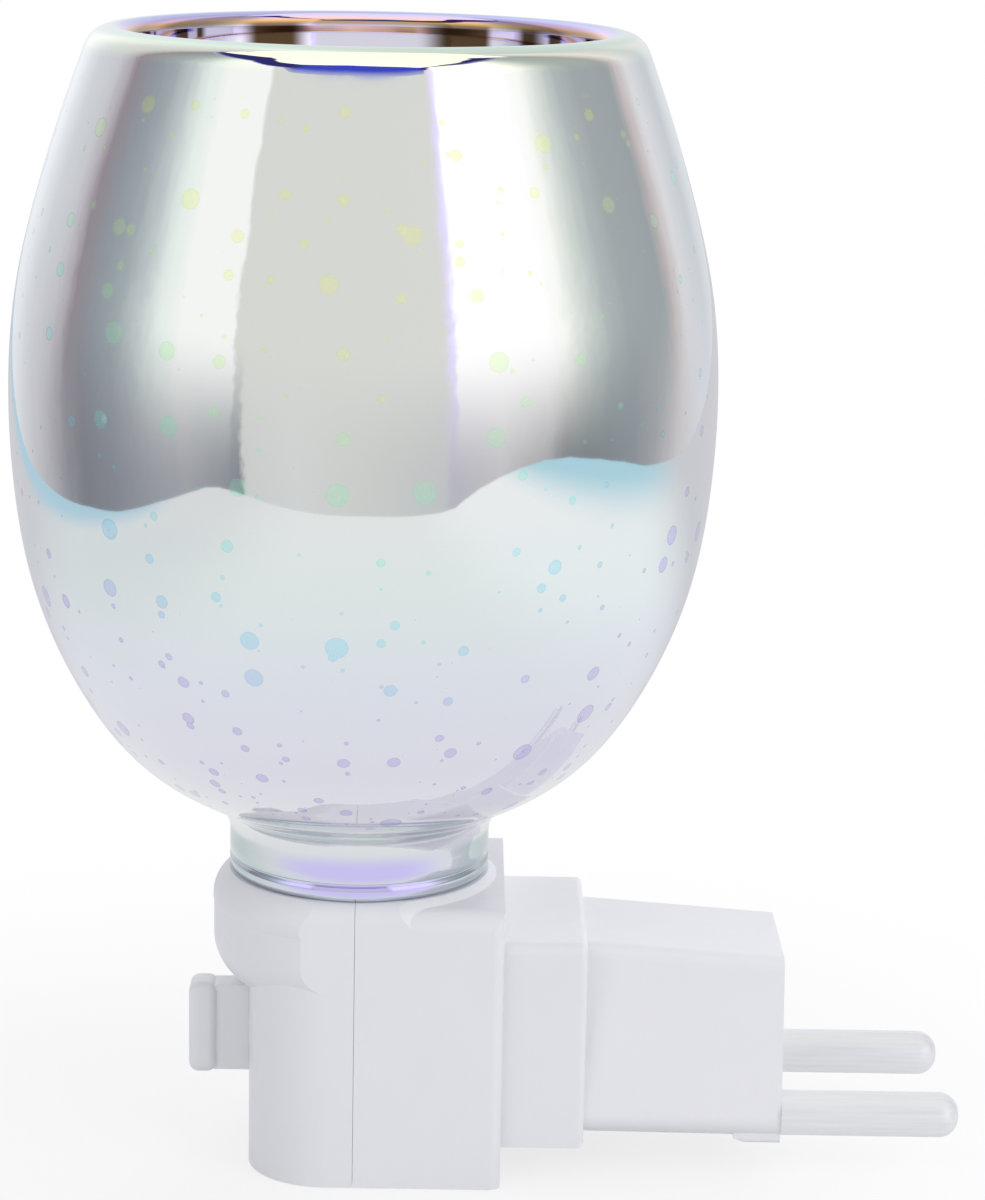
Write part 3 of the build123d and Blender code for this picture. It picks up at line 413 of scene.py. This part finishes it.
def arc(start, middle, end, count):
    """Points on the circle through three points, both ends included."""
    (ax, ay), (bx, by), (cx, cy) = start, middle, end
    d = 2 * (ax * (by - cy) + bx * (cy - ay) + cx * (ay - by))
    ux = ((ax**2 + ay**2) * (by - cy) + (bx**2 + by**2) * (cy - ay) + (cx**2 + cy**2) * (ay - by)) / d
    uy = ((ax**2 + ay**2) * (cx - bx) + (bx**2 + by**2) * (ax - cx) + (cx**2 + cy**2) * (bx - ax)) / d
    angles = [math.atan2(p[1] - uy, p[0] - ux) for p in (start, middle, end)]
    radius = math.hypot(ax - ux, ay - uy)
    for i in (1, 2):
        while angles[i] - angles[i - 1] > math.pi:
            angles[i] -= 2 * math.pi
        while angles[i] - angles[i - 1] < -math.pi:
            angles[i] += 2 * math.pi
    turns = np.linspace(angles[0], angles[2], count)
    return [(ux + radius * math.cos(a), uy + radius * math.sin(a)) for a in turns]


def shifted_left(points, distance):
    """An outline's inner points moved to its left."""
    moved = []
    for before, here, after in zip(points, points[1:], points[2:]):
        run, rise = after[0] - before[0], after[1] - before[1]
        length = math.hypot(run, rise)
        moved.append((here[0] - rise / length * distance, here[1] + run / length * distance))
    return moved


def glass_outline():
    """The wall's closed outline in millimetres, as (radius, height), from the foot over the lip and back."""
    wall, fold_gap = 1.9, 0.9
    neck_radius, widest = 13.85, 36.85
    top = GLASS_FOOT + GLASS_HEIGHT
    neck = (neck_radius, 35.8)
    # Shares of the glass's height and of its widest radius
    outer = [neck] + [(r * widest, GLASS_FOOT + h * GLASS_HEIGHT) for h, r in (
        (0.070, 0.391), (0.100, 0.494), (0.147, 0.657), (0.242, 0.825), (0.3625, 0.942),
        (0.470, 0.987), (0.575, 1.000), (0.700, 0.978), (0.830, 0.903), (0.905, 0.846),
    )]
    sink, outer_round, inner_round = 0.35, 3.0, 1.5
    lean = (-sink, math.sqrt(1 - sink**2))
    shoulder = (28.83, top - outer_round * (1 - sink))
    outer.append(shoulder)
    lip_top = (shoulder[0] - lean[1] * outer_round, top)
    lip_inner = (lip_top[0] - inner_round, top - inner_round)
    floor = top - 21.2
    drop = lip_inner[1] - floor
    dish = [lip_inner] + [(r * lip_inner[0], lip_inner[1] - d * drop) for d, r in (
        (0.22, 0.975), (0.52, 0.885), (0.80, 0.680), (0.95, 0.400),
    )] + [(0.0, floor)]
    under_start = (lip_inner[0] + wall, top - wall - fold_gap / 2)
    under = [under_start] + shifted_left(dish, wall) + [(0.0, floor - wall)]
    inner_end = (under_start[0] + fold_gap, under_start[1])
    inner = [(neck_radius - wall, neck[1])] + shifted_left(outer, wall) + [inner_end]
    foot = [
        (11.95, 31.2), (13.1, 31.2), (13.35, 31.25), (13.6, 31.45), (13.8, 31.8), (13.85, 32.2),
        (13.85, 32.8), (13.75, 32.9), (13.63, 33.05), (13.75, 33.2), (13.85, 33.3), (13.85, 34.2),
        (13.85, 35.0),
    ]
    half_turn = (math.asin(sink) + math.pi / 2) / 2
    out_mid = (
        lip_top[0] + outer_round * math.cos(half_turn),
        top - outer_round * (1 - math.sin(half_turn)),
    )
    half = math.sqrt(0.5)
    in_mid = (lip_top[0] - inner_round * half, top - inner_round * (1 - half))
    path = foot + clamped_spline(outer, (0, 1), lean, WALL_POINTS)
    path += arc(shoulder, out_mid, lip_top, 18)[1:]
    path += arc(lip_top, in_mid, lip_inner, 14)[1:]
    path += clamped_spline(dish, (0, -1), (-1, 0), 60)[1:]
    path += list(reversed(clamped_spline(under, (0, -1), (-1, 0), 24)))
    fold = ((under_start[0] + inner_end[0]) / 2, under_start[1] + fold_gap / 2)
    path += arc(under_start, fold, inner_end, 6)[1:]
    path += list(reversed(clamped_spline(inner, (0, 1), lean, 50)))[1:]
    return path


def turned(name, outline, around):
    """A closed skin turned about the Z axis from an outline that touches the axis twice."""
    vertices, faces, rings = [], [], []
    for radius, height in outline:
        if radius < 1e-6:
            rings.append([len(vertices)] * around)
            vertices.append((0.0, 0.0, height * MM))
            continue
        rings.append(list(range(len(vertices), len(vertices) + around)))
        for k in range(around):
            angle = 2 * math.pi * k / around
            vertices.append((radius * MM * math.cos(angle), radius * MM * math.sin(angle), height * MM))
    for low, high in zip(rings, rings[1:] + rings[:1]):
        for k in range(around):
            n = (k + 1) % around
            corners = []
            for v in (low[k], low[n], high[n], high[k]):
                if v not in corners:
                    corners.append(v)
            if len(corners) > 2:
                faces.append(corners)
    mesh = bpy.data.meshes.new(name)
    mesh.from_pydata(vertices, [], faces)
    mesh.validate()
    mesh.shade_smooth()
    piece = bpy.data.objects.new(name, mesh)
    bpy.context.scene.collection.objects.link(piece)
    return piece


glass = turned("blown_glass_shade", glass_outline(), 256)
glass.data.materials.append(mirrored_glass())
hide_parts("glass_shade")
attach(glass, "glass")


# Studio: a white table that ends a little beyond the object, with strips of light and dark round it

def studio_world():
    """White for the camera, even light for matt surfaces, and a photographer's studio for reflections."""
    world = bpy.data.worlds.new("studio")
    bpy.context.scene.world = world
    world.use_nodes = True
    tree = world.node_tree
    tree.nodes.clear()
    direction = add(tree, "ShaderNodeTexCoord").outputs["Generated"]
    wobble = noise(tree, direction, 5.0, 3.0)
    ragged = noise(tree, direction, 26.0)
    x, y, z = split(tree, direction)
    # Turn about the object: 0 degrees is the photographer's side, positive to their right
    turn = maths(tree, "ARCTAN2", x, maths(tree, "MULTIPLY", y, -1.0))
    share = maths(tree, "ADD", maths(tree, "DIVIDE", turn, 2 * math.pi), 0.5)
    for drift, amount in ((wobble, 0.012), (ragged, 0.010)):
        moved = maths(tree, "MULTIPLY", maths(tree, "SUBTRACT", drift, 0.5), amount)
        share = maths(tree, "ADD", share, moved)

    def share_at(degrees):
        return degrees / 360 + 0.5

    def at(degrees, r, g, b):
        return share_at(degrees), rgb(r, g, b)

    high = ramp(tree, share, [
        at(-180, 0.93, 0.93, 0.95),
        at(-158, 1.00, 1.01, 1.03),
        at(-135, 0.85, 0.87, 0.89),
        at(-119, 0.81, 0.815, 0.835),
        at(-112, 0.74, 0.72, 0.75),
        at(-107, 0.60, 0.565, 0.60),
        at(-101, 0.59, 0.59, 0.62),
        at(-94, 0.60, 0.63, 0.665),
        at(-85, 0.65, 0.69, 0.71),
        at(-76, 0.775, 0.815, 0.82),
        at(-67, 0.935, 0.975, 0.955),
        at(-59, 1.00, 1.01, 1.00),
        at(-40.5, 1.00, 1.01, 1.00),
        at(-39.5, 0.875, 0.885, 0.865),
        at(26.5, 0.885, 0.89, 0.875),
        at(28, 0.92, 0.90, 1.00),
        at(29.7, 0.96, 0.93, 1.06),
        at(30.4, 1.06, 1.06, 1.06),
        at(62, 1.05, 1.05, 1.05),
        at(68, 1.02, 1.03, 1.01),
        at(77, 0.86, 0.89, 0.87),
        at(86, 0.72, 0.755, 0.76),
        at(96, 0.66, 0.69, 0.70),
        at(115, 0.63, 0.665, 0.68),
        at(119, 0.73, 0.71, 0.715),
        at(124, 0.83, 0.80, 0.80),
        at(130, 0.89, 0.895, 0.91),
        at(147, 0.80, 0.825, 0.85),
        at(160, 0.88, 0.90, 0.915),
        at(180, 0.93, 0.93, 0.95),
    ])
    low = ramp(tree, share, [
        at(-180, 0.88, 0.89, 0.91),
        at(-150, 0.885, 0.90, 0.92),
        at(-130, 0.80, 0.80, 0.825),
        at(-119, 0.72, 0.715, 0.74),
        at(-109, 0.60, 0.60, 0.63),
        at(-99, 0.515, 0.52, 0.55),
        at(-86, 0.54, 0.555, 0.59),
        at(-70, 0.61, 0.62, 0.655),
        at(-57, 0.66, 0.665, 0.69),
        at(-45, 0.59, 0.61, 0.635),
        at(-37.5, 0.54, 0.56, 0.59),
        at(-36.5, 0.835, 0.84, 0.84),
        at(-20, 0.86, 0.865, 0.865),
        at(0, 0.835, 0.843, 0.832),
        at(28, 0.79, 0.797, 0.806),
        at(30, 0.75, 0.745, 0.79),
        at(46, 0.79, 0.785, 0.80),
        at(61, 0.66, 0.66, 0.67),
        at(68, 0.48, 0.49, 0.51),
        at(78, 0.48, 0.51, 0.53),
        at(97, 0.56, 0.59, 0.62),
        at(109, 0.66, 0.67, 0.69),
        at(122, 0.81, 0.80, 0.815),
        at(141, 0.86, 0.875, 0.90),
        at(180, 0.88, 0.89, 0.91),
    ])
    strips = mixed(tree, between(tree, z, 0.14, -0.27), high, low)
    # The dark gap under the light's white hood: its lower and upper edge, as the sine of their elevation
    gap = (
        (-125, 0.900, 0.900), (-112, 0.825, 0.850), (-91, 0.800, 0.885), (-70, 0.770, 0.900),
        (-60, 0.750, 0.880), (-45, 0.620, 0.780), (-32, 0.575, 0.740), (-8, 0.590, 0.785),
        (18, 0.587, 0.745), (26, 0.590, 0.700), (31, 0.720, 0.735), (43, 0.765, 0.810),
        (71, 0.843, 0.900), (99, 0.870, 0.930), (114, 0.855, 0.860), (125, 0.900, 0.900),
    )
    gap_edges = ramp(tree, share, [(share_at(degrees), (bottom, top, 0, 1)) for degrees, bottom, top in gap])
    edges = add(tree, "ShaderNodeSeparateColor", None, Color=gap_edges)
    lower, upper = edges.outputs[0], edges.outputs[1]
    over = maths(tree, "GREATER_THAN", z, lower)
    hood = between(tree, maths(tree, "SUBTRACT", z, upper), -0.006, 0.006)
    middle = maths(tree, "MULTIPLY", between(tree, turn, -0.62, -0.45), between(tree, turn, 0.50, 0.40))
    deep = mixed(tree, middle, rgb(0.19, 0.17, 0.44), rgb(0.23, 0.28, 0.78))
    depth = between(tree, maths(tree, "SUBTRACT", z, lower), 0.0, 0.03)
    in_gap = mixed(tree, depth, rgb(0.66, 0.68, 0.86), deep)
    above = mixed(tree, hood, in_gap, rgb(1.06, 1.06, 1.00))
    seen = mixed(tree, over, strips, above)
    path = add(tree, "ShaderNodeLightPath")
    glossy, through = path.outputs["Is Glossy Ray"], path.outputs["Is Transmission Ray"]
    mirror = maths(tree, "ADD", glossy, through, clamp=True)
    plain = mixed(tree, path.outputs["Is Camera Ray"], (0.62, 0.62, 0.64, 1.0), (1.0, 1.0, 1.0, 1.0))
    colour = mixed(tree, mirror, plain, seen)
    background = add(tree, "ShaderNodeBackground", None, Color=colour, Strength=1.0)
    output = add(tree, "ShaderNodeOutputWorld")
    tree.links.new(background.outputs[0], output.inputs[0])


def mixed_shader(tree, factor, a, b):
    """Two shaders mixed by a factor."""
    return add(tree, "ShaderNodeMixShader", None, i0=factor, i1=a.outputs[0], i2=b.outputs[0])


def staged_plane(name, corners, material):
    """A flat piece of the studio a hair under the object."""
    mesh = bpy.data.meshes.new(name)
    mesh.from_pydata([(x, y, 0.0) for x, y in corners], [], [list(range(len(corners)))])
    piece = bpy.data.objects.new(name, mesh)
    bpy.context.scene.collection.objects.link(piece)
    piece.location.z = -0.0001
    piece.data.materials.append(material)
    return piece


def table_top():
    """The white table's top, cut to its edges, which only the mirrored glass sees; it glows with painted
    light and takes a little real light.
    """
    corners = [
        (-0.290, 1.5), (-0.277, 0.30), (-0.278, 0.13), (-0.269, 0.01), (-0.257, -0.05), (-0.252, -0.13),
        (-0.243, -0.19), (-0.237, -0.221), (-0.221, -0.240), (-0.196, -0.250), (-0.163, -0.256),
        (-0.080, -0.261), (0.003, -0.265), (0.040, -0.261), (0.071, -0.256), (0.113, -0.249),
        (0.138, -0.249), (0.159, -0.258), (0.201, -0.270), (0.254, -0.272), (0.308, -0.262),
        (0.368, -0.228), (0.403, -0.169), (0.407, -0.080), (0.393, -0.003), (0.368, 0.060),
        (0.359, 0.113), (0.347, 0.174), (0.340, 0.30), (0.335, 1.5),
    ]
    material, tree, surface = bare_material("table_top")
    x, y = split(tree, place(tree))[:2]
    # Painted light: the table's glow is brighter toward the middle and right, cyan toward its side edges and
    # greyer on the far side
    painted_table_glow = mixed(tree, between(tree, x, -0.20, -0.06), rgb(0.95, 0.96, 0.96), rgb(1.01, 1.02, 1.01))
    painted_table_glow = mixed(tree, between(tree, x, 0.06, 0.17), painted_table_glow, rgb(1.05, 1.06, 1.06))
    painted_table_glow = mixed(tree, between(tree, x, 0.23, 0.36), painted_table_glow, rgb(0.70, 0.91, 0.97))
    painted_table_glow = mixed(tree, between(tree, y, 0.03, 0.22), painted_table_glow, rgb(0.87, 0.87, 0.89))
    left = maths(tree, "MULTIPLY", between(tree, x, -0.225, -0.262), between(tree, y, -0.17, -0.10))
    painted_table_glow = mixed(tree, left, painted_table_glow, rgb(0.72, 0.88, 0.95))
    matt = add(tree, "ShaderNodeBsdfDiffuse", None, Color=rgb(0.96, 0.96, 0.97))
    glow = add(tree, "ShaderNodeEmission", None, Color=painted_table_glow, Strength=1.0)
    tree.links.new(mixed_shader(tree, 0.30, glow, matt).outputs[0], surface)
    piece = staged_plane("table_top", corners, material)
    piece.visible_camera = False
    piece.visible_diffuse = False
    piece.visible_shadow = False


def floor():
    """A plain pale floor, white to the camera with the object's faint shadow, and not seen in the glass."""
    material, tree, surface = bare_material("floor")
    matt = add(tree, "ShaderNodeBsdfDiffuse", None, Color=rgb(0.90, 0.90, 0.91))
    paper = add(tree, "ShaderNodeEmission", None, Color=(1, 1, 1, 1), Strength=1.0)
    near = between(tree, length_of(tree, place(tree)), 0.02, 0.12, 0.25, 0.0)
    camera_ray = add(tree, "ShaderNodeLightPath").outputs["Is Camera Ray"]
    seen = mixed_shader(tree, camera_ray, matt, mixed_shader(tree, near, paper, matt))
    tree.links.new(seen.outputs[0], surface)
    reach = 3.0
    corners = [(-reach, -reach), (reach, -reach), (reach, reach), (-reach, reach)]
    piece = staged_plane("floor", corners, material)
    piece.visible_glossy = False


# The height that the lamps point at, near the object's middle
LAMP_AIM = 0.05


def soft_lamp(name, place_at, size, power):
    """A large soft lamp that faces the object and doesn't show in its mirror."""
    lamp = bpy.data.lights.new(name, "AREA")
    lamp.shape = "SQUARE"
    lamp.size = size
    lamp.energy = power
    holder = bpy.data.objects.new(name, lamp)
    bpy.context.scene.collection.objects.link(holder)
    holder.location = place_at
    aim = Vector((0.0, 0.0, LAMP_AIM)) - Vector(place_at)
    holder.rotation_euler = aim.to_track_quat("-Z", "Y").to_euler()
    holder.visible_glossy = False
    holder.visible_camera = False


studio_world()
table_top()
floor()
soft_lamp("left_light", (-0.55, -0.75, 0.75), 0.6, 2.0)
soft_lamp("right_light", (0.70, -0.55, 0.50), 0.6, 3.0)
soft_lamp("top_light", (0.55, 0.30, 0.70), 1.0, 1.0)
soft_lamp("back_light", (0.25, 0.80, 0.32), 0.6, 3.2)


# The camera, from the fit to the photograph

def photo_camera():
    """A camera at the photograph's place, tilted down and rolled a little."""
    pitch, roll, turn = math.radians(13.027), math.radians(1.119), math.radians(0.610)
    place_at = (0.00988, -0.36694, 0.14552)
    flat = Vector((math.sin(turn), math.cos(turn), 0.0))
    forward = flat * math.cos(pitch) + Vector((0.0, 0.0, -math.sin(pitch)))
    up = flat * math.sin(pitch) + Vector((0.0, 0.0, math.cos(pitch)))
    right = Vector((math.cos(turn), -math.sin(turn), 0.0))
    image_right = right * math.cos(roll) + up * math.sin(roll)
    image_up = up * math.cos(roll) - right * math.sin(roll)
    data = bpy.data.cameras.new("photo_camera")
    data.sensor_fit = "VERTICAL"
    data.sensor_height = 36.0
    data.lens = 106.804
    data.clip_start = 0.01
    data.clip_end = 20.0
    camera = bpy.data.objects.new("photo_camera", data)
    bpy.context.scene.collection.objects.link(camera)
    turned_to = Matrix((image_right, image_up, -forward)).transposed().to_4x4()
    camera.matrix_world = Matrix.Translation(place_at) @ turned_to
    bpy.context.scene.camera = camera


photo_camera()
bpy.context.scene.view_settings.view_transform = "Standard"
